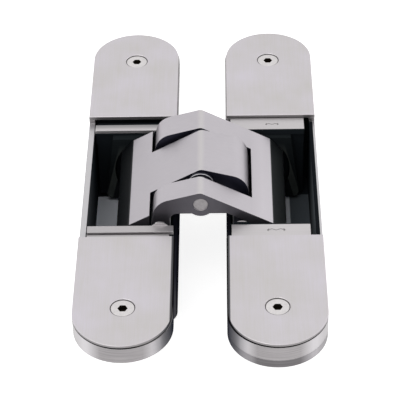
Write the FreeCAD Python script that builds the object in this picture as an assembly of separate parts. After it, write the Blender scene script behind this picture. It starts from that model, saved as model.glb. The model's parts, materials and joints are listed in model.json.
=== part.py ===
import FreeCAD, Part
import math
import os
from FreeCAD import Vector

# A concealed door hinge that lies open, with both faces up.
# X runs across the two bodies, with X = 0 in the middle of the gap between them.
# Y runs along the bodies, +Y is the far end, and Z = 0 is the back of the deep tubs.
# Widths marked u are distances from X = 0, the same on the left and right body.

# Bodies
gap_open = 17.0
body_width = 32.0
body_length = 172.0
body_depth = 33.6
corner_radius = 6.0
floor_thickness = 2.3
outer_wall = 2.0
inner_wall = 1.6
end_wall = 2.6
tub_length = 80.0
rim_drop = 3.0
inner_rim_clearance = 0.7
cavity_radius = 2.0
left_flange = 5.8
right_flange = 5.4
packing_thickness = 2.9

# Cover plates and their screws
cover_thickness = 1.4
cover_lap = 0.5
cover_inset = 0.4
cover_edge = 0.15
cover_groove = 0.35
cover_screw_inset = 17.7
screw_head_diameter = 7.7
screw_head_gap = 0.35
screw_length = 6.0
screw_core = 3.3
hex_across_flats = 2.5
hex_depth = 1.6

# Fixing holes in the flanges, for countersunk wood screws
fixing_spacing_x = 17.0
fixing_offset = 16.0
fixing_hole = 5.0
fixing_head = 9.6

# Folding mechanism
centre_height = 5.0
closed_gap = 5.0
knuckle_wall = 1.9
knuckle_drop = 0.4
fork_crest_wall = 0.34
middle_crest_wall = 0.61
crest_radius = 2.6
centre_pin = 5.0
pivot_pin = 4.0
slide_pin = 3.4
running_clearance = 0.05
pivot_inset = 5.2
pivot_drop = 6.0
pivot_eye = 3.3
sleeve_diameter = 6.0
middle_prong = 22.4
far_prong_gap = 1.6
near_prong_gap = 3.2
washer_thickness = 1.2
washer_diameter = 8.8
washer_clearance = 0.2
spacer_diameter = 7.0
pin_recess = 0.25
fork_plate_angle = 28.6
middle_plate_angle = 29.4
plate_thickness = 3.4
plate_end_inset = 16.27
tip_radius = 2.6
notch_clearance = 0.3
slide_inset = 14.5
slide_below_plate = 6.39
slide_eye = 3.0
hook_under = 3.7
hook_bend = 2.6
hook_angle = 15.6
hook_lean = 1.6
hook_corner = 7.0

# End blocks of the two carriages
block_thickness = 6.9
block_step = 7.7
depth_travel = 1.0
left_side_gap = 0.9
right_side_gap = 2.1
floor_clearance = 1.3
lip_top = 1.2
lip_bottom = 3.3
left_lip_reach = 0.4
left_lip_depth = 3.3
left_lip_overhang = 0.7
left_lip_gap = 0.5
ledge_depth = 2.8
ledge_end_gap = 0.1
ledge_height = 0.5
ledge_top = 1.8
ledge_inner_gap = 0.5
right_lip_reach = 1.0
right_lip_end_gap = 0.3
right_lip_gap = 2.0
boss_radius = 3.55
boss_drop = 3.6
boss_reach = 1.2
boss_seat = 2.0
pivot_pin_inset = 0.8
ear_radius = 2.8

# Curved guide tracks for the sliding ends of the arms
track_thickness = 3.0
track_arm_gap = 0.5
roller_diameter = 5.0
roller_clearance = 0.12
roller_end_gap = 0.2
track_inner_wall = 1.6
track_foot_wall = 4.0
track_lean = 3.7
track_corner = 2.6
track_samples = 10

# Cross slides
cross_gap = 0.2
cross_thickness = 3.0
cross_end_gap = 0.3
cross_top = 8.0
cross_side_gap = 2.6
tongue_width = 6.0
tongue_height = 1.6
slide_clearance = 0.15
rib_height = 1.0
rib_width = 4.0
rib_drop = 17.0

# Worked out from the sizes above
inner_rim_drop = pivot_drop + pivot_eye + depth_travel + inner_rim_clearance
half_gap = gap_open / 2
centre_u = half_gap + body_width / 2
outer_u = half_gap + body_width
face_z = body_depth
half_length = body_length / 2
cavity_inner_u = half_gap + inner_wall
cavity_outer_u = outer_u - outer_wall
cavity_half = tub_length / 2 - end_wall
floor_z = floor_thickness
cover_screw_y = half_length - cover_screw_inset
fixing_y = tub_length / 2 + fixing_offset
pivot_u = half_gap + pivot_inset
pivot_z = face_z - pivot_drop
centre_z = face_z + centre_height
slide_u = outer_u - slide_inset
plate_end_u = outer_u - plate_end_inset
knuckle_radius = centre_pin / 2 + knuckle_wall
fork_crest = (knuckle_radius + fork_crest_wall) / math.cos(math.radians(fork_plate_angle)) - knuckle_drop
middle_crest = (knuckle_radius + middle_crest_wall) / math.cos(math.radians(middle_plate_angle)) - knuckle_drop
plate_end_z = centre_z + fork_crest - plate_end_u * math.tan(math.radians(fork_plate_angle))
slide_z = plate_end_z - slide_below_plate
notch_u = pivot_u + pivot_eye + notch_clearance

# From the tub's end wall inward: cross slide, end block, guide track, arms
cross_end = cavity_half - cross_end_gap
cross_start = cross_end - cross_thickness
block_end = cross_start - cross_gap
block_start = block_end - block_thickness
track_start = block_start - track_thickness
arm_y = track_start - track_arm_gap
prong_y = middle_prong / 2
fork_far_y = prong_y + far_prong_gap
fork_near_y = prong_y + near_prong_gap
cover_y = block_end - cover_lap
boss_start = block_start - boss_reach
boss_end = block_start + boss_seat
roller_end = block_start - roller_end_gap
pivot_pin_end = block_end - pivot_pin_inset


# Closing turns the right body up and over, counter-clockwise seen from the near end.
# The fork arm turns about the left pivot, and the middle arm follows it at a fixed ratio.
def turned(point, centre, angle):
    dx = point[0] - centre[0]
    dz = point[1] - centre[1]
    cos_a = math.cos(angle)
    sin_a = math.sin(angle)
    return (centre[0] + dx * cos_a - dz * sin_a, centre[1] + dx * sin_a + dz * cos_a)


def fold_angles():
    reach = math.hypot(pivot_u, centre_z - pivot_z)
    rise_open = centre_z - pivot_z
    rise_closed = pivot_drop + closed_gap / 2
    start = math.asin(rise_open / reach)
    end = math.pi - math.asin(rise_closed / reach)
    fork_turn = end - start
    return fork_turn, math.pi - fork_turn


def slide_path(share):
    fork_turn, middle_turn = fold_angles()
    pivot = (-pivot_u, pivot_z)
    centre = turned((0.0, centre_z), pivot, fork_turn * share)
    moved = (centre[0] - slide_u, centre[1] + slide_z - centre_z)
    return turned(moved, centre, middle_turn * share)


# Small helpers. Profiles are drawn in (u, z) and pushed along Y.
def flat(u, z, y):
    return Vector(u, y, z)


def prism(face, length):
    return face.extrude(Vector(0, length, 0))


def box(u_min, u_max, y_min, y_max, z_min, z_max):
    corner = Vector(u_min, y_min, z_min)
    return Part.makeBox(u_max - u_min, y_max - y_min, z_max - z_min, corner)


def rod(u, z, y_min, y_max, diameter):
    return Part.makeCylinder(diameter / 2, y_max - y_min, Vector(u, y_min, z), Vector(0, 1, 0))


def post(u, y, z_min, z_max, diameter):
    return Part.makeCylinder(diameter / 2, z_max - z_min, Vector(u, y, z_min))


def cone(u, y, z_min, z_max, d_min, d_max):
    return Part.makeCone(d_min / 2, d_max / 2, z_max - z_min, Vector(u, y, z_min))


def hexagon(u, y, z_min, z_max, across_flats):
    radius = across_flats / math.sqrt(3)
    corners = [Vector(u + radius * math.cos(k * math.pi / 3), y + radius * math.sin(k * math.pi / 3), z_min)
               for k in range(7)]
    face = Part.Face(Part.makePolygon(corners))
    return face.extrude(Vector(0, 0, z_max - z_min))


def mirror_x(shape):
    return shape.mirror(Vector(0, 0, 0), Vector(1, 0, 0))


def mirror_y(shape):
    return shape.mirror(Vector(0, 0, 0), Vector(0, 1, 0))


def both_ends(shape):
    return [shape, mirror_y(shape)]


def fuse(first, *others):
    return first.multiFuse(list(others)).removeSplitter()


def stadium(u_min, u_max, y_end, z_min, z_max):
    radius = (u_max - u_min) / 2
    middle = (u_min + u_max) / 2
    slab = box(u_min, u_max, -(y_end - radius), y_end - radius, z_min, z_max)
    ends = [post(middle, s * (y_end - radius), z_min, z_max, 2 * radius) for s in (-1, 1)]
    return fuse(slab, *ends)


def rounded_block(u_min, u_max, y_half, z_min, z_max, radius):
    block = box(u_min, u_max, -y_half, y_half, z_min, z_max)
    upright = [e for e in block.Edges if abs(e.Vertexes[0].X - e.Vertexes[1].X) < 1e-6
               and abs(e.Vertexes[0].Y - e.Vertexes[1].Y) < 1e-6]
    return block.makeFillet(radius, upright)


# The cone that a cover screw sits in. The head lies a little under the cover's top.
def screw_sink(y):
    seat = screw_head_diameter + 2 * screw_head_gap
    return cone(centre_u, y, face_z - (seat - screw_core) / 2, face_z, screw_core, seat)


# A body: shallow flange with round ends, and a deep tub in the middle.
def housing(flange):
    flange_top = face_z - cover_thickness
    plate = stadium(half_gap, outer_u, half_length, flange_top - flange, flange_top)
    tub = rounded_block(half_gap, outer_u, tub_length / 2, 0, flange_top, corner_radius)
    body = fuse(plate, tub)
    cavity = rounded_block(cavity_inner_u, cavity_outer_u, cavity_half, floor_z, face_z, cavity_radius)
    cuts = [cavity]
    cuts.append(box(centre_u, outer_u + 1, -cover_y, cover_y, face_z - rim_drop, face_z))
    cuts.append(box(half_gap - 1, centre_u, -cover_y, cover_y, face_z - inner_rim_drop, face_z))
    for sy in (-1, 1):
        cuts.append(post(centre_u, sy * cover_screw_y, flange_top - flange, flange_top, screw_core))
        cuts.append(screw_sink(sy * cover_screw_y))
        for sx in (-1, 1):
            hole_u = centre_u + sx * fixing_spacing_x / 2
            hole_y = sy * fixing_y
            head_depth = (fixing_head - fixing_hole) / 2
            cuts.append(post(hole_u, hole_y, flange_top - flange, flange_top, fixing_hole))
            cuts.append(cone(hole_u, hole_y, flange_top - head_depth, flange_top, fixing_hole, fixing_head))
    return body.cut(Part.makeCompound(cuts))


def left_housing():
    return mirror_x(housing(left_flange))


def right_housing():
    body = housing(right_flange)
    ribs = []
    rib_z = face_z - rib_drop
    for sy in (-1, 1):
        y_near = min(sy * cavity_half, sy * (cavity_half - rib_height))
        ribs.append(box(cavity_inner_u - 0.5, cavity_outer_u + 0.5, y_near, y_near + rib_height,
                        rib_z - rib_width / 2, rib_z + rib_width / 2))
    return fuse(body, *ribs)


# The darker plate under each end of the right flange brings both bodies to the same depth in the doors.
def packing_plate():
    top = face_z - cover_thickness - right_flange
    plate = stadium(half_gap, outer_u, half_length, top - packing_thickness, top)
    keep = box(0, outer_u + 1, tub_length / 2 + 0.2, half_length + 1, 0, face_z)
    plate = plate.common(keep)
    holes = []
    for sx in (-1, 1):
        hole_u = centre_u + sx * fixing_spacing_x / 2
        holes.append(post(hole_u, fixing_y, 0, face_z, fixing_hole))
    holes.append(post(centre_u, cover_screw_y, 0, face_z, screw_core))
    return plate.cut(Part.makeCompound(holes))


# Half of a stadium, with one countersunk hole and a softened upper edge.
def cover():
    bottom = face_z - cover_thickness
    plate = stadium(half_gap + cover_inset, outer_u, half_length, bottom, face_z)
    keep = box(half_gap, outer_u, cover_y, half_length, 0, face_z)
    plate = plate.common(keep)
    top_edges = [e for e in plate.Edges if all(abs(v.Z - face_z) < 1e-6 for v in e.Vertexes)]
    plate = plate.makeChamfer(cover_edge, top_edges)
    low_edges = [e for e in plate.Edges if all(abs(v.Z - bottom) < 1e-6 for v in e.Vertexes)
                 and e.BoundBox.YMax > cover_y + cover_edge]
    plate = plate.makeChamfer(cover_groove, low_edges)
    return plate.cut(screw_sink(cover_screw_y))


def cover_screw():
    y = cover_screw_y
    top = face_z - screw_head_gap
    depth = (screw_head_diameter - screw_core) / 2
    head = cone(centre_u, y, top - depth, top, screw_core, screw_head_diameter)
    shank = post(centre_u, y, face_z - screw_length, top - depth, screw_core)
    socket = hexagon(centre_u, y, top - hex_depth, top + 1, hex_across_flats)
    return fuse(head, shank).cut(socket)


# Arms. Each has a straight plate to its own side and a hook over to the other side.
def plate_profile(crest, plate_angle, u_start):
    slope = math.radians(plate_angle)
    along = (math.cos(slope), -math.sin(slope))
    normal = (math.sin(slope), math.cos(slope))
    offset = crest * math.cos(slope)
    reach = plate_end_u / math.cos(slope)

    def at(distance, height):
        return (along[0] * distance + normal[0] * height, centre_z + along[1] * distance + normal[1] * height)

    def arc_point(centre, radius, angle):
        return (centre[0] + radius * math.cos(angle), centre[1] + radius * math.sin(angle))

    eye = (slide_u, slide_z)
    tip = at(reach - tip_radius, offset - tip_radius)
    outer = math.atan2(eye[1] - tip[1], eye[0] - tip[0])
    turn = math.asin((tip_radius - slide_eye) / math.hypot(eye[0] - tip[0], eye[1] - tip[1]))
    side = outer + math.pi / 2 + turn
    top_angle = math.pi / 2 - slope
    web_drop = crest + hook_under - plate_thickness / math.cos(slope)
    points = {
        "crest": (0, centre_z + crest),
        "tip_start": arc_point(tip, tip_radius, top_angle),
        "tip_mid": arc_point(tip, tip_radius, (top_angle + side) / 2),
        "tip_end": arc_point(tip, tip_radius, side),
        "eye_start": arc_point(eye, slide_eye, side),
        "eye_low": arc_point(eye, slide_eye, math.radians(-80)),
        "eye_in": arc_point(eye, slide_eye, math.radians(-195)),
        "under": at(notch_u + notch_clearance, offset - plate_thickness),
        "web_end": (web_drop / math.tan(slope), centre_z - hook_under),
        "web_root": (0, centre_z - hook_under),
    }
    v = {name: flat(p[0], p[1], 0) for name, p in points.items()}
    edges = [
        Part.makeLine(v["crest"], v["tip_start"]),
        Part.Arc(v["tip_start"], v["tip_mid"], v["tip_end"]).toShape(),
        Part.makeLine(v["tip_end"], v["eye_start"]),
        Part.Arc(v["eye_start"], v["eye_low"], v["eye_in"]).toShape(),
        Part.makeLine(v["eye_in"], v["under"]),
        Part.makeLine(v["under"], v["web_end"]),
        Part.makeLine(v["web_end"], v["web_root"]),
        Part.makeLine(v["web_root"], v["crest"]),
    ]
    face = Part.Face(Part.Wire(edges))
    if u_start is None:
        return face
    low = slide_z - 2 * slide_eye
    high = centre_z + 2 * crest
    past = -slide_u
    corners = [flat(past, low, 0), flat(u_start, low, 0), flat(u_start, high, 0), flat(past, high, 0)]
    return face.cut(Part.Face(Part.makePolygon(corners + corners[:1])))


def hook_shoulder(crest):
    u = pivot_u + pivot_eye - hook_lean
    return (u, centre_z + crest - u * math.tan(math.radians(hook_angle)))


def hook_profile(crest):
    eye = (pivot_u, pivot_z)
    inner = pivot_u - pivot_eye
    under = centre_z - hook_under
    shoulder = hook_shoulder(crest)
    reach = math.hypot(shoulder[0] - eye[0], shoulder[1] - eye[1])
    towards = math.atan2(shoulder[1] - eye[1], shoulder[0] - eye[0])
    touch = towards - math.acos(pivot_eye / reach)
    touch_point = flat(eye[0] + pivot_eye * math.cos(touch), eye[1] + pivot_eye * math.sin(touch), 0)
    bend_in = hook_bend * (1 - math.sqrt(0.5))
    edges = [
        Part.makeLine(flat(0, centre_z + crest, 0), flat(shoulder[0], shoulder[1], 0)),
        Part.makeLine(flat(shoulder[0], shoulder[1], 0), touch_point),
        Part.Arc(touch_point, flat(eye[0], eye[1] - pivot_eye, 0), flat(inner, eye[1], 0)).toShape(),
        Part.makeLine(flat(inner, eye[1], 0), flat(inner, under - hook_bend, 0)),
        Part.Arc(flat(inner, under - hook_bend, 0), flat(inner - bend_in, under - bend_in, 0),
                 flat(inner - hook_bend, under, 0)).toShape(),
        Part.makeLine(flat(inner - hook_bend, under, 0), flat(0, under, 0)),
        Part.makeLine(flat(0, under, 0), flat(0, centre_z + crest, 0)),
    ]
    return Part.Face(Part.Wire(edges))


# Rounds the long edges that pass through one point of the profile.
def rounded_at(arm, u, z, radius):
    chosen = [e for e in arm.Edges if all(abs(v.X - u) < 1e-4 and abs(v.Z - z) < 1e-4 for v in e.Vertexes)]
    return arm.makeFillet(radius, chosen)


def slab(face, y_min, y_max):
    piece = prism(face, y_max - y_min)
    piece.translate(Vector(0, y_min, 0))
    return piece


def knuckle(y_min, y_max):
    return rod(0, centre_z - knuckle_drop, y_min, y_max, 2 * knuckle_radius)


def middle_arm():
    plate = mirror_x(slab(plate_profile(middle_crest, middle_plate_angle, None), -prong_y, prong_y))
    wide = mirror_x(slab(plate_profile(middle_crest, middle_plate_angle, notch_u), -arm_y, arm_y))
    hook = slab(hook_profile(middle_crest), -prong_y, prong_y)
    arm = fuse(knuckle(-prong_y, prong_y), plate, wide, hook)
    shoulder = hook_shoulder(middle_crest)
    arm = rounded_at(arm, 0, centre_z + middle_crest, crest_radius)
    arm = rounded_at(arm, shoulder[0], shoulder[1], hook_corner)
    bores = [rod(0, centre_z, -arm_y, arm_y, centre_pin + 2 * running_clearance),
             rod(pivot_u, pivot_z, -arm_y, arm_y, pivot_pin + 2 * running_clearance),
             rod(-slide_u, slide_z, -arm_y, arm_y, slide_pin)]
    return arm.cut(Part.makeCompound(bores))


def fork_arm():
    parts = []
    for y_min, y_max in ((-arm_y, -fork_near_y), (fork_far_y, arm_y)):
        parts.append(knuckle(y_min, y_max))
        parts.append(slab(plate_profile(fork_crest, fork_plate_angle, None), y_min, y_max))
        parts.append(mirror_x(slab(hook_profile(fork_crest), y_min, y_max)))
    parts.append(slab(plate_profile(fork_crest, fork_plate_angle, notch_u), -arm_y, arm_y))
    arm = fuse(parts[0], *parts[1:])
    shoulder = hook_shoulder(fork_crest)
    arm = rounded_at(arm, 0, centre_z + fork_crest, crest_radius)
    arm = rounded_at(arm, -shoulder[0], shoulder[1], hook_corner)
    bores = [rod(0, centre_z, -arm_y, arm_y, centre_pin),
             rod(-pivot_u, pivot_z, -arm_y, arm_y, pivot_pin + 2 * running_clearance),
             rod(slide_u, slide_z, -arm_y, arm_y, slide_pin)]
    return arm.cut(Part.makeCompound(bores))


def centre_pin_piece():
    return rod(0, centre_z, -(arm_y - pin_recess), arm_y - pin_recess, centre_pin)


# The far gap holds a plain washer, and the wider near gap a washer with a spacer turned on it.
def far_washer():
    start = prong_y + washer_clearance
    ring = rod(0, centre_z, start, start + washer_thickness, washer_diameter)
    return ring.cut(rod(0, centre_z, start, start + washer_thickness, centre_pin))


def near_washer():
    start = -(prong_y + washer_clearance)
    end = -(fork_near_y - washer_clearance)
    disc = rod(0, centre_z, start - washer_thickness, start, washer_diameter)
    spacer = rod(0, centre_z, end, start, spacer_diameter)
    return fuse(disc, spacer).cut(rod(0, centre_z, end, start, centre_pin))


def pivot_pin_piece():
    return rod(pivot_u, pivot_z, -pivot_pin_end, pivot_pin_end, pivot_pin)


def sleeve(y_min, y_max):
    return rod(pivot_u, pivot_z, y_min, y_max, sleeve_diameter).cut(rod(pivot_u, pivot_z, y_min, y_max, pivot_pin))


def middle_pivot_sleeves():
    return both_ends(sleeve(prong_y + running_clearance, boss_start))


def fork_pivot_sleeves():
    inner = sleeve(-(fork_near_y - running_clearance), fork_far_y - running_clearance)
    return [inner] + both_ends(sleeve(arm_y + running_clearance, boss_start))


def slide_pin_piece():
    return rod(slide_u, slide_z, -roller_end, roller_end, slide_pin)


def slide_roller():
    return rod(slide_u, slide_z, arm_y + running_clearance, roller_end, roller_diameter).cut(
        rod(slide_u, slide_z, arm_y, roller_end, slide_pin))


# The slot in a guide track is the slide pin's path through the whole fold.
def path_point(share, offset):
    step = 0.01
    before = slide_path(share - step)
    after = slide_path(share + step)
    here = slide_path(share)
    length = math.hypot(after[0] - before[0], after[1] - before[1])
    along = ((after[0] - before[0]) / length, (after[1] - before[1]) / length)
    u = -(here[0] + along[1] * offset)
    z = here[1] - along[0] * offset
    return flat(u, z, 0), Vector(-along[0], 0, along[1])


def slot_profile(half_width):
    shares = [k / track_samples for k in range(track_samples + 1)]
    outer = Part.BSplineCurve()
    outer.interpolate([path_point(share, half_width)[0] for share in shares])
    inner = Part.BSplineCurve()
    inner.interpolate([path_point(share, -half_width)[0] for share in shares])
    first, first_way = path_point(0, 0)
    last, last_way = path_point(1, 0)
    start_cap = Part.Arc(path_point(0, -half_width)[0], first - first_way * half_width,
                         path_point(0, half_width)[0]).toShape()
    end_cap = Part.Arc(path_point(1, half_width)[0], last + last_way * half_width,
                       path_point(1, -half_width)[0]).toShape()
    return Part.Face(Part.Wire([outer.toShape(), end_cap, inner.toShape(), start_cap]))


def guide_track():
    top = face_z - lip_bottom
    bottom = floor_z + floor_clearance
    shares = [k / track_samples for k in range(track_samples + 1)]
    reach = [-slide_path(share)[0] for share in shares]
    half_slot = roller_diameter / 2 + roller_clearance
    inner_u = min(reach) - half_slot - track_inner_wall
    outer_low = max(reach) + half_slot + track_foot_wall
    outer_high = outer_low - track_lean
    corners = [flat(inner_u, top, 0), flat(outer_high, top, 0), flat(outer_low, bottom, 0),
               flat(inner_u, bottom, 0), flat(inner_u, top, 0)]
    plate = slab(Part.Face(Part.makePolygon(corners)), track_start, block_start)
    low = [e for e in plate.Edges if abs(e.Length - track_thickness) < 1e-6
           and e.Vertexes[0].Z < bottom + 1e-6]
    plate = plate.makeFillet(track_corner, low)
    slot = slab(slot_profile(half_slot), track_start, block_start)
    return plate.cut(slot)


# End blocks carry the pivot pin and the guide tracks. Below the step they stay clear of the inner wall.
def end_block(u_min, u_max, lip):
    step_z = face_z - block_step
    lower = box(u_min, u_max, block_start, block_end, floor_z + floor_clearance, step_z)
    upper = box(lip[0], lip[1], block_start, lip[3], step_z, face_z - lip_bottom)
    shoulder = box(u_min, u_max, block_start, block_end, step_z, face_z - lip_bottom)
    top = box(lip[0], lip[1], lip[2], lip[3], face_z - lip_bottom, face_z - lip_top)
    boss = rod(pivot_u, face_z - boss_drop, boss_start, lip[2], 2 * boss_radius)
    ear = box(pivot_u - ear_radius, pivot_u + ear_radius, boss_start, boss_end, pivot_z, face_z - boss_drop)
    foot = rod(pivot_u, pivot_z, boss_start, boss_end, 2 * ear_radius)
    block = fuse(lower, upper, shoulder, top, boss, ear, foot)
    return block.cut(rod(pivot_u, pivot_z, 0, pivot_pin_end, pivot_pin))


def left_block(near):
    u_min = cavity_inner_u + left_side_gap
    u_max = cavity_outer_u - left_side_gap
    lip_start = block_start - left_lip_reach
    lip = (half_gap + left_lip_overhang, cavity_outer_u - left_lip_gap, lip_start, lip_start + left_lip_depth)
    block = end_block(u_min, u_max, lip)
    if near:
        ledge_end = cover_y - ledge_end_gap
        ledge = box(cavity_inner_u + ledge_inner_gap, lip[1], ledge_end - ledge_depth, ledge_end,
                    face_z - lip_bottom - ledge_height, face_z - ledge_top)
        block = fuse(block, ledge)
    return block


def right_block():
    u_min = cavity_inner_u + right_side_gap
    u_max = cavity_outer_u - right_side_gap
    lip = (cavity_inner_u + slide_clearance, cavity_outer_u - right_lip_gap, block_start - right_lip_reach,
           cover_y - right_lip_end_gap)
    block = end_block(u_min, u_max, lip)
    tongue = box(centre_u - tongue_width / 2, centre_u + tongue_width / 2, block_end,
                 cross_start + tongue_height, floor_z + floor_clearance, face_z - cross_top - depth_travel)
    return fuse(block, tongue)


# The right end block moves up and down on its cross slide, which moves sideways on the body's rib.
def cross_slide():
    u_min = cavity_inner_u + cross_side_gap
    u_max = cavity_outer_u - cross_side_gap
    block = box(u_min, u_max, cross_start, cross_end, floor_z + floor_clearance, face_z - cross_top)
    half_groove = tongue_width / 2 + slide_clearance
    groove = box(centre_u - half_groove, centre_u + half_groove, cross_start - 1,
                 cross_start + tongue_height + slide_clearance, 0, face_z)
    rib_z = face_z - rib_drop
    half_channel = rib_width / 2 + slide_clearance
    reach = cavity_half - rib_height - slide_clearance
    channel = box(0, outer_u, reach, cross_end + 1, rib_z - half_channel, rib_z + half_channel)
    return block.cut(Part.makeCompound([groove, channel]))


def export(name, shapes):
    solids = []
    for shape in shapes:
        solids.extend(shape.Solids)
    for solid in solids:
        if not solid.isValid():
            print("not valid:", name)
    whole = solids[0] if len(solids) == 1 else Part.makeCompound(solids)
    whole.exportStep("parts/" + name + ".step")
    print(name, len(solids), round(sum(s.Volume for s in solids), 2))


def build():
    nodes = {}
    nodes["left_housing"] = [left_housing()]
    nodes["right_housing"] = [right_housing()]
    packing = packing_plate()
    nodes["right_packing_plate_far"] = [packing]
    nodes["right_packing_plate_near"] = [mirror_y(packing)]
    far_cover = cover()
    nodes["right_cover_far"] = [far_cover]
    nodes["right_cover_near"] = [mirror_y(far_cover)]
    nodes["left_cover_far"] = [mirror_x(far_cover)]
    nodes["left_cover_near"] = [mirror_x(mirror_y(far_cover))]
    screws = both_ends(cover_screw())
    nodes["right_cover_screws"] = screws
    nodes["left_cover_screws"] = [mirror_x(s) for s in screws]
    nodes["left_end_block_far"] = [mirror_x(left_block(False))]
    nodes["left_end_block_near"] = [mirror_x(mirror_y(left_block(True)))]
    right_far = right_block()
    nodes["right_end_block_far"] = [right_far]
    nodes["right_end_block_near"] = [mirror_y(right_far)]
    slide = cross_slide()
    nodes["right_cross_slide_far"] = [slide]
    nodes["right_cross_slide_near"] = [mirror_y(slide)]
    track = guide_track()
    nodes["right_guide_track_far"] = [track]
    nodes["right_guide_track_near"] = [mirror_y(track)]
    nodes["left_guide_track_far"] = [mirror_x(track)]
    nodes["left_guide_track_near"] = [mirror_x(mirror_y(track))]
    nodes["middle_arm"] = [middle_arm()]
    nodes["fork_arm"] = [fork_arm()]
    nodes["centre_pin"] = [centre_pin_piece()]
    nodes["spacer_washers"] = [far_washer(), near_washer()]
    nodes["right_pivot_pin"] = [pivot_pin_piece()]
    nodes["left_pivot_pin"] = [mirror_x(pivot_pin_piece())]
    nodes["right_pivot_sleeves"] = middle_pivot_sleeves()
    nodes["left_pivot_sleeves"] = [mirror_x(s) for s in fork_pivot_sleeves()]
    nodes["right_slide_pin"] = [slide_pin_piece()]
    nodes["left_slide_pin"] = [mirror_x(slide_pin_piece())]
    rollers = both_ends(slide_roller())
    nodes["right_slide_collars"] = rollers
    nodes["left_slide_collars"] = [mirror_x(r) for r in rollers]
    return nodes


os.makedirs("parts", exist_ok=True)
for node, shapes in build().items():
    export(node, shapes)
fork_turn, middle_turn = fold_angles()
print("fork turn", round(math.degrees(fork_turn), 4), "middle turn", round(math.degrees(middle_turn), 4))
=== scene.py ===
# A concealed door hinge lying open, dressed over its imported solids.
# +Z is up and +Y the far end of the hinge. Meshes are in metres, and mm turns millimetres into them.
import bpy
import json
import math
import numpy as np
from mathutils import Matrix, Vector


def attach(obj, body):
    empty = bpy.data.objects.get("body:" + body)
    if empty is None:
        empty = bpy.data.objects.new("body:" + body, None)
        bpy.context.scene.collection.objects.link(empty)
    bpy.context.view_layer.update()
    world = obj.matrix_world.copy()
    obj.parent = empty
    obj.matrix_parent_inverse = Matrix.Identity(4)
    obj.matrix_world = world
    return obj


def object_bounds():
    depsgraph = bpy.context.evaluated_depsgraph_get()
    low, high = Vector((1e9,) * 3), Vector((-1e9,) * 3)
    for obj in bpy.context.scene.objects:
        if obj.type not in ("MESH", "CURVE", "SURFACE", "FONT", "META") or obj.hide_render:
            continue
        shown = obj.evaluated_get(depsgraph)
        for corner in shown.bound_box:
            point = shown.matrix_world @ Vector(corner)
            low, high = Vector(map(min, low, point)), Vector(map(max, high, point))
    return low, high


mm = 0.001
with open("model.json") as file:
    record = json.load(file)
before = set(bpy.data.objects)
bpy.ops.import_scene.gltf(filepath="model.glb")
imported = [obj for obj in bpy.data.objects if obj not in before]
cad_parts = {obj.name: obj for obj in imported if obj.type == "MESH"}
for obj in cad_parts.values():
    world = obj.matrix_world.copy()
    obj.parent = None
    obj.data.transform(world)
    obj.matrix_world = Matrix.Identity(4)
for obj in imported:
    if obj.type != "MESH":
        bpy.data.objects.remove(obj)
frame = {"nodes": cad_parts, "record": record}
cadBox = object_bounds()
print("frame loaded")


# Low and high corner of one of the hinge's nodes, in millimetres
def cornersOf(node):
    corners = np.array(frame["nodes"][node].bound_box) / mm
    return corners.min(axis=0), corners.max(axis=0)


bodyLow, bodyHigh = cornersOf("right_housing")
pinLow, pinHigh = cornersOf("centre_pin")
bodyMiddle = (bodyLow[0] + bodyHigh[0]) / 2
bodyHalfWidth = (bodyHigh[0] - bodyLow[0]) / 2
pinHeight = (pinLow[2] + pinHigh[2]) / 2


# One shader tree, with short ways to add nodes to it.
class Net:
    def __init__(self, tree):
        self.nodes = tree.nodes
        self.links = tree.links

    # A socket takes a number as it is, or a link from another socket.
    def feed(self, socket, value):
        if isinstance(value, (int, float)):
            socket.default_value = value
        elif isinstance(value, tuple):
            socket.default_value = (*value, 1.0)
        else:
            self.links.new(value, socket)

    def math(self, operation, first, second=None, clamp=False):
        node = self.nodes.new("ShaderNodeMath")
        node.operation = operation
        node.use_clamp = clamp
        self.feed(node.inputs[0], first)
        if second is not None:
            self.feed(node.inputs[1], second)
        return node.outputs[0]

    def mix(self, factor, first, second):
        node = self.nodes.new("ShaderNodeMix")
        node.data_type = "RGBA"
        self.feed(node.inputs["Factor"], factor)
        self.feed(node.inputs[6], first)
        self.feed(node.inputs[7], second)
        return node.outputs[2]

    def axes(self, output, scale):
        coords = self.nodes.new("ShaderNodeTexCoord")
        scaled = self.nodes.new("ShaderNodeVectorMath")
        scaled.operation = "SCALE"
        scaled.inputs["Scale"].default_value = scale
        apart = self.nodes.new("ShaderNodeSeparateXYZ")
        self.links.new(coords.outputs[output], scaled.inputs[0])
        self.links.new(scaled.outputs[0], apart.inputs[0])
        return tuple(apart.outputs)

    # Where a point lies while the hinge is open, in millimetres
    def place(self):
        return self.axes("Object", 1 / mm)

    def normal(self):
        return self.axes("Normal", 1.0)

    def positive(self, value):
        return self.math("ABSOLUTE", value)

    def above(self, value, limit):
        return self.math("GREATER_THAN", value, limit)

    def below(self, value, limit):
        return self.math("LESS_THAN", value, limit)

    def less(self, value, taken):
        return self.math("SUBTRACT", value, taken)

    # 0 at low, 1 at high, straight between. Low may be the larger.
    def ramp(self, value, low, high):
        return self.math("DIVIDE", self.less(value, low), high - low, clamp=True)

    # 1 between low and high, with soft ends inside them
    def band(self, value, low, high, soft):
        return self.times(self.ramp(value, low, low + soft), self.ramp(value, high, high - soft))

    # All the values multiplied. Of masks, it is where all of them hold.
    def times(self, *values):
        result = values[0]
        for value in values[1:]:
            result = self.math("MULTIPLY", result, value)
        return result

    def add(self, *values):
        result = values[0]
        for value in values[1:]:
            result = self.math("ADD", result, value)
        return result

    # The root of the two squares added
    def distance(self, first, second):
        return self.math("SQRT", self.add(self.times(first, first), self.times(second, second)))


def newMaterial(name):
    material = bpy.data.materials.new(name)
    material.use_nodes = True
    return material, Net(material.node_tree), material.node_tree.nodes["Principled BSDF"]


def addSocket(group, name, way, kind):
    group.interface.new_socket(name=name, in_out=way, socket_type=kind)


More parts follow.
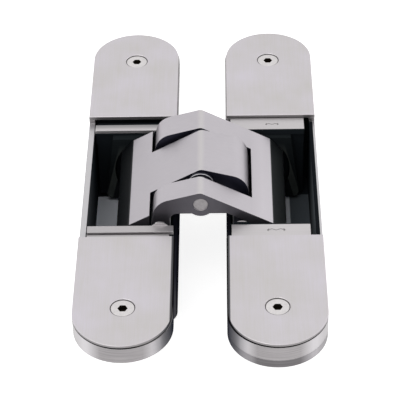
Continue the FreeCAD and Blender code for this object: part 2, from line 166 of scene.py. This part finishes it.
# What all finishes share: the detail of the noises and how finely edges are looked for
grain = {"scale": 1.0, "lineDetail": 3.0, "patchDetail": 2.0, "edgeSamples": 6}


# Brushed lines are noise stretched along one axis. Patches are the same noise, wide and even.
def brushedGroup():
    group = bpy.data.node_groups.new("brushedLines", "ShaderNodeTree")
    addSocket(group, "Stretch", "INPUT", "NodeSocketVector")
    addSocket(group, "Mottle", "INPUT", "NodeSocketFloat")
    addSocket(group, "Lines", "OUTPUT", "NodeSocketFloat")
    addSocket(group, "Patches", "OUTPUT", "NodeSocketFloat")
    nodes, links = group.nodes, group.links
    start, end = nodes.new("NodeGroupInput"), nodes.new("NodeGroupOutput")
    coords = nodes.new("ShaderNodeTexCoord")
    stretch = nodes.new("ShaderNodeVectorMath")
    stretch.operation = "MULTIPLY"
    links.new(coords.outputs["Object"], stretch.inputs[0])
    links.new(start.outputs["Stretch"], stretch.inputs[1])
    lines = nodes.new("ShaderNodeTexNoise")
    lines.inputs["Scale"].default_value = grain["scale"]
    lines.inputs["Detail"].default_value = grain["lineDetail"]
    links.new(stretch.outputs[0], lines.inputs["Vector"])
    patches = nodes.new("ShaderNodeTexNoise")
    patches.inputs["Detail"].default_value = grain["patchDetail"]
    links.new(coords.outputs["Object"], patches.inputs["Vector"])
    links.new(start.outputs["Mottle"], patches.inputs["Scale"])
    links.new(lines.outputs["Fac"], end.inputs["Lines"])
    links.new(patches.outputs["Fac"], end.inputs["Patches"])
    return group


# Near an edge the rounded normal and the true one part. The mask is 1 less their dot product, times the gain.
def edgeGroup():
    group = bpy.data.node_groups.new("roundedEdges", "ShaderNodeTree")
    addSocket(group, "Radius", "INPUT", "NodeSocketFloat")
    addSocket(group, "Gain", "INPUT", "NodeSocketFloat")
    addSocket(group, "Normal", "OUTPUT", "NodeSocketVector")
    addSocket(group, "Edge", "OUTPUT", "NodeSocketFloat")
    net = Net(group)
    start, end = net.nodes.new("NodeGroupInput"), net.nodes.new("NodeGroupOutput")
    bevel = net.nodes.new("ShaderNodeBevel")
    bevel.samples = grain["edgeSamples"]
    net.links.new(start.outputs["Radius"], bevel.inputs["Radius"])
    geometry = net.nodes.new("ShaderNodeNewGeometry")
    dot = net.nodes.new("ShaderNodeVectorMath")
    dot.operation = "DOT_PRODUCT"
    net.links.new(bevel.outputs[0], dot.inputs[0])
    net.links.new(geometry.outputs["True Normal"], dot.inputs[1])
    parting = net.less(1.0, dot.outputs["Value"])
    net.links.new(bevel.outputs[0], end.inputs["Normal"])
    net.links.new(net.math("MULTIPLY", parting, start.outputs["Gain"], clamp=True), end.inputs["Edge"])
    return group


brushed = brushedGroup()
rounded = edgeGroup()

# What a finish has where its own look says nothing else, with the colour of the highlight painted on its
# edges. The radius and the bump's depth are in metres.
# Warmth is the share of blue that the dark tone loses and the light one gains, with a little less green.
usual = {"mottle": 60.0, "patchShare": 0.4, "steepness": 2.4, "warmth": 0.0, "roughnessSpan": 0.16,
         "bump": 0.25, "bumpDepth": 0.00002, "edgeRadius": 0.0003, "edgeGain": 5.0, "specular": 0.5,
         "edgeHighlight": (0.86, 0.85, 0.86), "greenLoss": 0.25}


# Steel between a dark and a light tone, its edges painted bright as a highlight. Its zones go over it in
# turn, each a mask, a colour and how metallic it is there. A zone that isn't metallic at all is matt too.
def steel(name, ownLook, zones=None):
    look = {**usual, **ownLook}
    material, net, shader = newMaterial(name)
    lines = net.nodes.new("ShaderNodeGroup")
    lines.node_tree = brushed
    lines.inputs["Stretch"].default_value = look["stretch"]
    lines.inputs["Mottle"].default_value = look["mottle"]
    edge = net.nodes.new("ShaderNodeGroup")
    edge.node_tree = rounded
    edge.inputs["Radius"].default_value = look["edgeRadius"]
    edge.inputs["Gain"].default_value = look["edgeGain"]
    warm, contrast = look["warmth"], look["contrast"]
    warmer = (1.0, 1.0, 1.0 - warm)
    cooler = (1.0, 1.0 - warm * look["greenLoss"], 1.0 + warm)
    dark = tuple(part * hue * (1 - contrast) for part, hue in zip(look["colour"], warmer))
    light = tuple(min(1.0, part * hue * (1 + contrast)) for part, hue in zip(look["colour"], cooler))
    share = look["patchShare"]
    tone = net.add(net.times(lines.outputs["Lines"], 1 - share), net.times(lines.outputs["Patches"], share))
    steep = net.times(net.less(tone, 0.5), look["steepness"])
    colour = net.mix(net.math("ADD", steep, 0.5, clamp=True), dark, light)
    # Near its edges the colour goes towards a painted highlight.
    colour = net.mix(net.times(edge.outputs["Edge"], look["edgeStrength"]), colour, look["edgeHighlight"])
    metallic = look["metallic"]
    specular = look["specular"] if metallic else 0.0
    for mask, zoneColour, zoneMetal in zones(net, look) if zones else []:
        colour = net.mix(mask, colour, zoneColour)
        if zoneMetal is not None:
            metallic = net.add(net.times(mask, net.less(zoneMetal, metallic)), metallic)
        if zoneMetal == 0:
            specular = net.times(net.less(1.0, mask), specular)
    rough = net.times(lines.outputs["Lines"], look["roughnessSpan"])
    net.feed(shader.inputs["Base Color"], colour)
    net.feed(shader.inputs["Metallic"], metallic)
    net.feed(shader.inputs["Specular IOR Level"], specular)
    net.feed(shader.inputs["Roughness"], net.add(rough, look["roughness"] - look["roughnessSpan"] / 2))
    bump = net.nodes.new("ShaderNodeBump")
    bump.inputs["Distance"].default_value = look["bumpDepth"]
    bump.inputs["Strength"].default_value = look["bump"]
    net.links.new(lines.outputs["Lines"], bump.inputs["Height"])
    net.links.new(edge.outputs["Normal"], bump.inputs["Normal"])
    net.links.new(bump.outputs[0], shader.inputs["Normal"])
    return material


# Brushed lines run the way in which their stretch is small.
alongHinge, acrossHinge = (2600, 60, 2600), (60, 2600, 2600)
roundSides, noWay = (60, 60, 2600), (900, 900, 900)

# A face looks along an axis where its normal's part along it is above this.
facing = 0.5

# The looks below hold a finish and its zones, with places in millimetres. Across and along are distances
# from the middle of the hinge. A pair is a band's two sides, or where a zone starts and where it is full.
# Painted shade for the sides that look into the gap between the bodies
gapShade = (0.034, 0.036, 0.052)
jointDark = (0.012, 0.011, 0.011)

# Where the painted highlights and the painted shade go round the ends of the bodies
endPlaces = {"along": 68.0, "streak": (0.42, 1.0), "streakSoft": 0.25, "streakShare": 0.75,
             "turn": (-0.74, -0.98)}


# Round the ends of a body the side gets two bright streaks of painted highlight and, where it turns into the
# gap, painted shade.
# The place round the end is the distance across from the body's middle, in half widths, and outward is 1.
def endLightAndShade(net, bright, dull):
    x, y, z = net.place()
    roundEnd = net.math("DIVIDE", net.less(net.positive(x), bodyMiddle), bodyHalfWidth)
    side = net.below(net.positive(net.normal()[2]), facing)
    end = net.times(net.above(net.positive(y), endPlaces["along"]), side)
    streak = net.band(net.positive(roundEnd), *endPlaces["streak"], endPlaces["streakSoft"])
    turn = net.ramp(roundEnd, *endPlaces["turn"])
    return [(net.times(end, streak, endPlaces["streakShare"]), bright, None),
            (net.times(end, turn), dull, 0.0)]


jointPlaces = {"far": (32.0, 26.0), "inward": (21.0, 16.0), "nearEnd": (-66.0, -77.0), "turnShare": 0.8}


# 1 where a cover's dark joint line shows: on the near half, but hardly round the left near end's inner turn
def jointShows(net):
    x, y, z = net.place()
    inward = net.ramp(net.positive(x), *jointPlaces["inward"])
    nearEnd = net.ramp(y, *jointPlaces["nearEnd"])
    turn = net.times(net.below(x, 0.0), inward, nearEnd, jointPlaces["turnShare"])
    return net.times(net.ramp(y, *jointPlaces["far"]), net.less(1.0, turn))


# Beside the steel's own colour, this look holds the colours of the light and shade painted on the bodies.
bodyLook = {"colour": (0.295, 0.280, 0.286), "metallic": 0.8, "roughness": 0.34, "stretch": roundSides,
            "contrast": 0.26, "edgeStrength": 0.4, "edgeRadius": 0.0002,
            "streak": (0.60, 0.58, 0.60), "turn": (0.12, 0.112, 0.125), "upward": (0.5, 0.8),
            "gapAcross": (15.0, 8.8), "gapFar": (30.0, 20.0), "jointBottom": 31.9,
            "ledgeTop": 31.0, "ledge": (0.58, 0.57, 0.585),
            "gapLedgeOuter": 12.0, "gapLedge": (0.030, 0.031, 0.045),
            "tubAcross": (9.7, 38.8), "tubAlong": 37.6, "tubBottom": 1.2, "tubTop": 29.9, "soft": 0.1,
            "tub": (0.022, 0.028, 0.033),
            "outerWallInner": 36.5, "outerWallFar": (20.0, -24.0),
            "leftOuterWall": (0.110, 0.118, 0.128), "rightOuterWall": (0.150, 0.170, 0.185),
            "floorTop": 2.9, "floorInner": 23.0, "floorAlong": 26.5, "floor": (0.90, 0.93, 1.0),
            "shadedFloorAcross": (31.4, 31.7), "shadedFloor": (0.13, 0.15, 0.17),
            "rimAcross": (38.3, 39.8), "rimAlong": 33.39, "rimBottom": 29.8, "rimTop": 30.9,
            "rim": (0.012, 0.014, 0.017)}


# Inside the tub the steel is painted dark as shade, but its outer wall gets painted light towards the near
# end, and the floor is painted a bright grey as lit, with painted shade on the right floor's outer strip and
# right rim.
# Outside, the side that looks into the gap between the bodies gets painted shade, and so does the ledge by
# the gap;
# elsewhere the ledge's upward faces are painted lighter, as lit from above.
def bodyZones(net, look):
    x, y, z = net.place()
    across, along = net.positive(x), net.positive(y)
    upward = net.ramp(net.normal()[2], *look["upward"])
    side = net.less(1.0, upward)
    right = net.above(x, 0.0)
    gap = net.times(net.ramp(across, *look["gapAcross"]), net.ramp(y, *look["gapFar"]))
    # The whole inside of the tub gets painted shade.
    tub = net.times(net.band(across, *look["tubAcross"], look["soft"]), net.below(along, look["tubAlong"]),
                    net.below(z, look["tubTop"]), net.above(z, look["tubBottom"]))
    # The floor gets painted light, but for painted shade on the right one's outer strip.
    floor = net.times(tub, net.below(z, look["floorTop"]), net.above(across, look["floorInner"]),
                      net.below(along, look["floorAlong"]))
    # The tub's outer wall gets painted light, growing towards the near end, more on the right.
    outerWall = net.times(tub, net.above(across, look["outerWallInner"]), net.ramp(y, *look["outerWallFar"]))
    shadedFloor = net.times(floor, right, net.ramp(across, *look["shadedFloorAcross"]))
    # The right housing's rim gets painted shade.
    rim = net.times(right, net.band(across, *look["rimAcross"], look["soft"]),
                    net.below(along, look["rimAlong"]), net.above(z, look["rimBottom"]),
                    net.below(z, look["rimTop"]))
    jointLine = net.times(net.above(z, look["jointBottom"]), upward, jointShows(net))
    # Upward faces below the covers get painted light, and those by the gap painted shade.
    ledge = net.times(upward, net.below(z, look["ledgeTop"]))
    return endLightAndShade(net, look["streak"], look["turn"]) + [
        (ledge, look["ledge"], None),
        (net.times(ledge, net.below(across, look["gapLedgeOuter"])), look["gapLedge"], 0.0),
        (net.times(gap, side), gapShade, 0.0),
        (tub, look["tub"], 0.0),
        (outerWall, look["leftOuterWall"], 0.0),
        (net.times(outerWall, right), look["rightOuterWall"], 0.0),
        (floor, look["floor"], 0.0),
        (shadedFloor, look["shadedFloor"], 0.0),
        (rim, look["rim"], 0.0),
        (jointLine, jointDark, 0.0)]


packingLook = {"colour": (0.130, 0.123, 0.128), "metallic": 0.8, "roughness": 0.38, "stretch": roundSides,
               "contrast": 0.34, "edgeStrength": 0.15, "edgeRadius": 0.0002,
               "streak": (0.46, 0.44, 0.46), "turn": (0.09, 0.085, 0.095), "gapAcross": (16.0, 8.8)}


# A packing band gets the painted highlights and shade round its ends, and painted shade on its side towards
# the gap.
def packingZones(net, look):
    x, y, z = net.place()
    gap = net.ramp(net.positive(x), *look["gapAcross"])
    return endLightAndShade(net, look["streak"], look["turn"]) + [(gap, gapShade, 0.0)]


blockLook = {"colour": (0.60, 0.575, 0.585), "metallic": 0.75, "roughness": 0.4, "stretch": acrossHinge,
             "contrast": 0.05, "bump": 0.1, "edgeStrength": 0.45, "edgeRadius": 0.0002,
             "farTopAlong": (27.0, 29.0), "leftFarTop": (0.34, 0.33, 0.335),
             "leftNearTop": (0.49, 0.47, 0.478),
             "bossTopAlong": 26.0, "bossTopBottom": 33.2, "bossTop": (0.30, 0.29, 0.30),
             "bossAlong": 26.5, "lipBottom": 31.2, "black": (0.017, 0.021, 0.025)}


# An end block's lip is bright, and all below it is painted black as shade, the boss's side too, while the
# boss's top gets a grey painted shade. The tops of the left ones get painted shade, the far one's darkest at
# its far end.
def blockZones(net, look):
    x, y, z = net.place()
    along = net.positive(y)
    left = net.below(x, 0.0)
    upward = net.above(net.normal()[2], facing)
    farTop = net.times(upward, left, net.above(y, 0.0), net.ramp(y, *look["farTopAlong"]))
    nearTop = net.times(upward, left, net.below(y, 0.0))
    bossTop = net.times(net.below(along, look["bossTopAlong"]), net.above(z, look["bossTopBottom"]))
    boss = net.times(net.below(along, look["bossAlong"]), net.below(z, look["bossTopBottom"]))
    low = net.below(z, look["lipBottom"])
    return [(farTop, look["leftFarTop"], None),
            (nearTop, look["leftNearTop"], None),
            (bossTop, look["bossTop"], None),
            (net.math("MAXIMUM", low, boss), look["black"], 0.0)]


trackLook = {"colour": (0.017, 0.021, 0.023), "metallic": 0.0, "roughness": 0.6, "stretch": acrossHinge,
             "contrast": 0.2, "edgeStrength": 0.0,
             "slant": 0.252, "railAcross": (33.8, 36.6), "railSoft": 0.4, "railFade": (28.0, 20.0),
             "rail": (0.085, 0.095, 0.090), "railMetal": 0.3}


# A guide track is black, but for the rail along its outer side, painted lighter as lit, fading out towards
# the top.
# The rail is a slanting band: the distance across, plus a quarter of the height, stays between two values.
def trackZones(net, look):
    x, y, z = net.place()
    slanted = net.add(net.positive(x), net.times(z, look["slant"]))
    outside = net.above(net.positive(net.normal()[1]), facing)
    rail = net.times(net.band(slanted, *look["railAcross"], look["railSoft"]), outside,
                     net.ramp(z, *look["railFade"]))
    return [(rail, look["rail"], look["railMetal"])]


armLook = {"colour": (0.535, 0.508, 0.540), "metallic": 0.75, "roughness": 0.44, "stretch": (400, 1500, 400),
           "contrast": 0.045, "bump": 0.1, "edgeStrength": 0.35, "edgeRadius": 0.0003,
           "rightSide": (17.0, 21.0), "rightTop": (0.60, 0.57, 0.605),
           "crestHalf": 1.5, "crestSoft": 1.3, "crestShare": 0.45, "crest": (0.68, 0.66, 0.64),
           "endSlope": (0.60, 0.08), "end": (0.13, 0.125, 0.135), "shadedSide": (0.100, 0.094, 0.108),
           "deepFrom": (34.0, 24.0), "deep": (0.014, 0.016, 0.020),
           "betweenAlong": 15.0, "between": (0.022, 0.022, 0.038),
           "stepAcross": (16.9, 17.8), "stepSoft": 0.1, "stepUpright": 0.9, "step": (0.010, 0.010, 0.012),
           "noseAcross": (24.15, 24.35), "noseMetal": 0.7,
           "nose": (0.016, 0.019, 0.020), "leftNose": (0.009, 0.011, 0.013)}


# An arm is bright on its sanded top, lighter on the right with painted light, and has a painted highlight
# along its crest.
# Painted shade makes its outer sides grey, the sides between the prongs nearly black, and its ends, its
# steps, its nose and all that lies deep in the tub dark, the left nose darkest.
def armZones(net, look):
    x, y, z = net.place()
    across, along = net.positive(x), net.positive(y)
    normal = net.normal()
    crest = net.band(x, -look["crestHalf"], look["crestHalf"], look["crestSoft"])
    shadedSide = net.above(net.positive(normal[1]), facing)
    end = net.ramp(normal[2], *look["endSlope"])
    deep = net.ramp(z, *look["deepFrom"])
    between = net.below(along, look["betweenAlong"])
    step = net.times(end, net.band(across, *look["stepAcross"], look["stepSoft"]),
                     net.above(net.positive(normal[0]), look["stepUpright"]))
    nose = net.ramp(across, *look["noseAcross"])
    return [(net.ramp(x, *look["rightSide"]), look["rightTop"], None),
            (net.times(crest, look["crestShare"]), look["crest"], None),
            (end, look["end"], None),
            (shadedSide, look["shadedSide"], None),
            (net.times(net.math("MAXIMUM", shadedSide, end), deep), look["deep"], 0.0),
            (net.times(shadedSide, between), look["between"], None),
            (step, look["step"], 0.0),
            (nose, look["nose"], look["noseMetal"]),
            (net.times(nose, net.below(x, 0.0)), look["leftNose"], look["noseMetal"])]


screwPlaces = {"across": 24.5, "along": 68.3}


# Across and along from the axis of the nearest cover screw
def fromScrew(net):
    x, y, z = net.place()
    return net.less(net.positive(x), screwPlaces["across"]), net.less(net.positive(y), screwPlaces["along"])


coverLook = {"colour": (0.622, 0.597, 0.613), "metallic": 0.75, "roughness": 0.42, "stretch": alongHinge,
             "mottle": 75.0, "patchShare": 0.62, "contrast": 0.055, "warmth": 0.042, "bump": 0.08,
             "edgeStrength": 0.3, "edgeRadius": 0.00015,
             "sideSlope": (0.6, 0.1), "side": (0.25, 0.238, 0.243), "nearSide": (30.0, 20.0),
             "innerAcross": (15.0, 9.5), "inner": (0.062, 0.064, 0.078),
             "edgeAcross": (9.7, 9.4), "edge": (0.055, 0.055, 0.062), "edgeMetal": 0.2,
             "jointTop": 32.60, "jointNear": (-60.0, -66.0), "jointGrowth": 0.16,
             "ringRadius": 4.02, "ringTop": 33.56, "ring": (0.05, 0.045, 0.045)}


# A cover's cut edges get painted shade, darker on the near side towards the gap, and a strip of painted shade
# runs along its inner edge on all but the far end. Its joint with the body is a dark line, wider at the near
# end, and the ring round each screw is dark. Distance from a screw is the root of the squares across and
# along.
def coverZones(net, look):
    x, y, z = net.place()
    across = net.positive(x)
    side = net.ramp(net.normal()[2], *look["sideSlope"])
    ring = net.times(net.below(net.distance(*fromScrew(net)), look["ringRadius"]),
                     net.below(z, look["ringTop"]))
    near = net.ramp(y, *look["nearSide"])
    inner = net.times(side, near, net.ramp(across, *look["innerAcross"]))
    edge = net.times(near, net.ramp(across, *look["edgeAcross"]))
    growth = net.times(net.ramp(y, *look["jointNear"]), look["jointGrowth"])
    jointLine = net.below(z, net.add(look["jointTop"], growth))
    return [(side, look["side"], None),
            (inner, look["inner"], 0.0),
            (edge, look["edge"], look["edgeMetal"]),
            (net.times(jointLine, jointShows(net)), jointDark, 0.0),
            (ring, look["ring"], None)]


screwLook = {"colour": (0.70, 0.675, 0.675), "metallic": 0.8, "roughness": 0.34, "stretch": (1500, 1500, 100),
             "contrast": 0.12, "edgeStrength": 0.5, "edgeRadius": 0.0002,
             "rimFrom": (3.70, 3.76), "rim": (0.10, 0.094, 0.094),
             "socketHalf": (1.46, 1.40), "socket": (0.016, 0.012, 0.008)}


# A screw's socket is painted dark as the shade in it, and the rim of its head is dark. The socket is a
# hexagon: the larger of the distance along and the distance across times the cosine of 30 degrees plus half
# of the one along stays below a value.
def screwZones(net, look):
    across, along = fromScrew(net)
    slanted = net.add(net.times(net.positive(across), math.cos(math.radians(30))),
                      net.times(net.positive(along), math.sin(math.radians(30))))
    hexagon = net.math("MAXIMUM", net.positive(along), slanted)
    return [(net.ramp(net.distance(across, along), *look["rimFrom"]), look["rim"], 0.0),
            (net.ramp(hexagon, *look["socketHalf"]), look["socket"], 0.0)]


washerLook = {"colour": (0.016, 0.016, 0.028), "metallic": 0.4, "roughness": 0.4, "stretch": noWay,
              "contrast": 0.1, "edgeStrength": 0.1,
              "lineRadius": 4.3, "lineFar": -12.3, "line": (0.62, 0.61, 0.64)}


# A washer is dark, but for a bright line of painted highlight on its outer edge towards the near end.
# Distance from the centre pin is the root of the squares across and up.
def washerZones(net, look):
    x, y, z = net.place()
    fromPin = net.distance(x, net.less(z, pinHeight))
    line = net.times(net.above(fromPin, look["lineRadius"]), net.below(y, look["lineFar"]))
    return [(line, look["line"], None)]


pinLook = {"colour": (0.315, 0.298, 0.305), "metallic": 0.8, "roughness": 0.4, "stretch": noWay,
           "contrast": 0.25, "edgeStrength": 0.3}
sleeveLook = {"colour": (0.035, 0.036, 0.048), "metallic": 0.3, "roughness": 0.45, "stretch": noWay,
              "contrast": 0.25, "edgeStrength": 0.1}

# A node takes the finish that its slot in the record names, but for these, which have one of their own.
finishes = {"cover": (coverLook, coverZones), "body": (bodyLook, bodyZones),
            "packing": (packingLook, packingZones), "block": (blockLook, blockZones),
            "track": (trackLook, trackZones), "arm": (armLook, armZones),
            "pin": (pinLook, None), "sleeve": (sleeveLook, None),
            "screw": (screwLook, screwZones), "washer": (washerLook, washerZones)}
ownFinish = {"spacer_washers": "washer", "left_pivot_sleeves": "sleeve", "right_pivot_sleeves": "sleeve",
             "left_slide_collars": "sleeve", "right_slide_collars": "sleeve",
             "left_pivot_pin": "sleeve", "right_pivot_pin": "sleeve"}
materials = {name: steel(name + "Steel", *finish) for name, finish in finishes.items()}
slotOf = {part["node"]: part["material_slot"] for part in frame["record"]["subparts"]}
for node, obj in frame["nodes"].items():
    obj.data.materials.clear()
    obj.data.materials.append(materials[ownFinish.get(node, slotOf[node])])
print("steel finishes set")


# Two-way arrows on the right end blocks, in millimetres
arrows = {"halfWidth": 2.3, "headLength": 0.45, "headHalf": 0.62, "peak": 1.15, "high": 0.42, "dip": -0.12,
          "line": 0.2, "along": 29.4, "across": 25.1, "top": 32.4, "lift": 0.015, "thick": 0.012,
          "farSize": 1.0, "nearSize": 1.3, "colour": (0.14, 0.13, 0.13, 1), "roughness": 0.6}


def engravedPaint():
    material, net, shader = newMaterial("engravedGrey")
    shader.inputs["Base Color"].default_value = arrows["colour"]
    shader.inputs["Roughness"].default_value = arrows["roughness"]
    return material


# A stroke is a flat bar between two points: each end moves half a line's width to both sides.
def strokeCorners(starts, ends, width):
    way = ends - starts
    side = np.stack([-way[:, 1], way[:, 0]], axis=1)
    side = side / np.linalg.norm(side, axis=1, keepdims=True) * width / 2
    return np.stack([starts - side, ends - side, ends + side, starts + side], axis=1)


# The line of a mark dips in the middle, rises to a peak on both sides and falls to its two arrow heads.
def markStrokes(size):
    half, head, wing = arrows["halfWidth"], arrows["headLength"], arrows["headHalf"]
    peak, high, dip = arrows["peak"], arrows["high"], arrows["dip"]
    line = np.array([[-half, dip], [-peak, high], [0, dip], [peak, high], [half, dip]])
    tips = np.array([line[0], line[0], line[-1], line[-1]])
    wings = tips + np.array([[head, wing], [head, -wing / 2], [-head, wing], [-head, -wing / 2]])
    starts = np.concatenate([line[:-1], tips]) * size
    ends = np.concatenate([line[1:], wings]) * size
    return strokeCorners(starts, ends, arrows["line"])


def arrowMark(name, sign, size, paint):
    corners = markStrokes(size) + np.array([arrows["across"], sign * arrows["along"]])
    low = arrows["top"] + arrows["lift"]
    count = len(corners)
    points = np.zeros((count, 8, 3))
    points[:, :4, :2] = corners
    points[:, 4:, :2] = corners
    points[:, :4, 2] = low
    points[:, 4:, 2] = low + arrows["thick"]
    box = np.array([[3, 2, 1, 0], [4, 5, 6, 7], [0, 1, 5, 4], [1, 2, 6, 5], [2, 3, 7, 6], [3, 0, 4, 7]])
    faces = (box[None] + 8 * np.arange(count)[:, None, None]).reshape(-1, 4)
    mesh = bpy.data.meshes.new(name)
    mesh.from_pydata((points.reshape(-1, 3) * mm).tolist(), [], faces.tolist())
    mark = bpy.data.objects.new(name, mesh)
    bpy.context.collection.objects.link(mark)
    mesh.materials.append(paint)
    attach(mark, "right_carriage")


markPaint = engravedPaint()
arrowMark("adjustmentArrowFar", 1, arrows["farSize"], markPaint)
arrowMark("adjustmentArrowNear", -1, arrows["nearSize"], markPaint)
print("arrows engraved")


# Lengths are in metres and powers in watts.
studio = {"floorSize": 3.0, "floorDrop": 0.0002, "floorGrey": (0.88, 0.88, 0.88, 1), "floorRoughness": 0.9,
          "floorLift": 0.84, "whiteLevel": 1.0, "ambient": 0.55, "lampSize": 0.8, "lampTarget": (0, 0, 0.02),
          "keyPlace": (-0.35, -0.35, 0.9), "keyPower": 2.4, "fillPlace": (0.7, 0.3, 0.7), "fillPower": 1.0}


# 1 for camera, glossy and transmission rays, 0 for the rest
def seenDirectly(net):
    path = net.nodes.new("ShaderNodeLightPath")
    glass = net.math("MAXIMUM", path.outputs["Is Glossy Ray"], path.outputs["Is Transmission Ray"])
    return net.math("MAXIMUM", path.outputs["Is Camera Ray"], glass)


# The floor is pale paint that those rays see brighter, up to white. It keeps the hinge's shadow.
def floorPaint():
    material, net, shader = newMaterial("floorPaint")
    shader.inputs["Base Color"].default_value = studio["floorGrey"]
    shader.inputs["Roughness"].default_value = studio["floorRoughness"]
    shader.inputs["Specular IOR Level"].default_value = 0.0
    shader.inputs["Emission Color"].default_value = (1, 1, 1, 1)
    net.feed(shader.inputs["Emission Strength"], net.times(seenDirectly(net), studio["floorLift"]))
    return material


def studioFloor():
    half = studio["floorSize"] / 2
    corners = np.array([[-half, -half, 0], [half, -half, 0], [half, half, 0], [-half, half, 0]])
    corners[:, 2] = cadBox[0][2] - studio["floorDrop"]
    mesh = bpy.data.meshes.new("studioFloor")
    mesh.from_pydata(corners.tolist(), [], [(0, 1, 2, 3)])
    floor = bpy.data.objects.new("studioFloor", mesh)
    bpy.context.collection.objects.link(floor)
    mesh.materials.append(floorPaint())


def areaLamp(name, place, power):
    light = bpy.data.lights.new(name, "AREA")
    light.shape = "SQUARE"
    light.size = studio["lampSize"]
    light.energy = power
    lamp = bpy.data.objects.new(name, light)
    bpy.context.collection.objects.link(lamp)
    lamp.location = place
    lamp.rotation_euler = (Vector(studio["lampTarget"]) - Vector(place)).to_track_quat("-Z", "Y").to_euler()


# The world gives its light at the ambient level and is seen white.
def studioWorld():
    world = bpy.data.worlds.new("studioWorld")
    bpy.context.scene.world = world
    world.use_nodes = True
    net = Net(world.node_tree)
    background = net.nodes["Background"]
    background.inputs["Color"].default_value = (1, 1, 1, 1)
    lift = net.times(seenDirectly(net), studio["whiteLevel"] - studio["ambient"])
    net.feed(background.inputs["Strength"], net.add(lift, studio["ambient"]))


studioFloor()
studioWorld()
areaLamp("keyLamp", studio["keyPlace"], studio["keyPower"])
areaLamp("fillLamp", studio["fillPlace"], studio["fillPower"])
print("studio set")


# The camera, from a fit to the photograph. Place is in millimetres and angles in degrees.
shot = {"focalPixels": 1809.52, "pictureWidth": 400, "sensor": 36, "pitch": 38.9791, "yaw": -1.23666,
        "roll": 1.40238, "place": (9.9398, -490.9476, 419.0277)}


def photoCamera():
    pitch, yaw, roll = (math.radians(shot[key]) for key in ("pitch", "yaw", "roll"))
    forward = Vector((math.sin(yaw) * math.cos(pitch), math.cos(yaw) * math.cos(pitch), -math.sin(pitch)))
    right = Vector((math.cos(yaw), -math.sin(yaw), 0))
    down = forward.cross(right)
    turnedRight = right * math.cos(roll) + down * math.sin(roll)
    turnedDown = -right * math.sin(roll) + down * math.cos(roll)
    data = bpy.data.cameras.new("photoCamera")
    data.sensor_width = shot["sensor"]
    data.lens = shot["sensor"] * shot["focalPixels"] / shot["pictureWidth"]
    camera = bpy.data.objects.new("photoCamera", data)
    bpy.context.collection.objects.link(camera)
    axes = Matrix((turnedRight, -turnedDown, -forward)).transposed().to_4x4()
    camera.matrix_world = Matrix.Translation(Vector(shot["place"]) * mm) @ axes
    bpy.context.scene.camera = camera


photoCamera()
bpy.context.scene.view_settings.view_transform = "Standard"
print("scene ready")
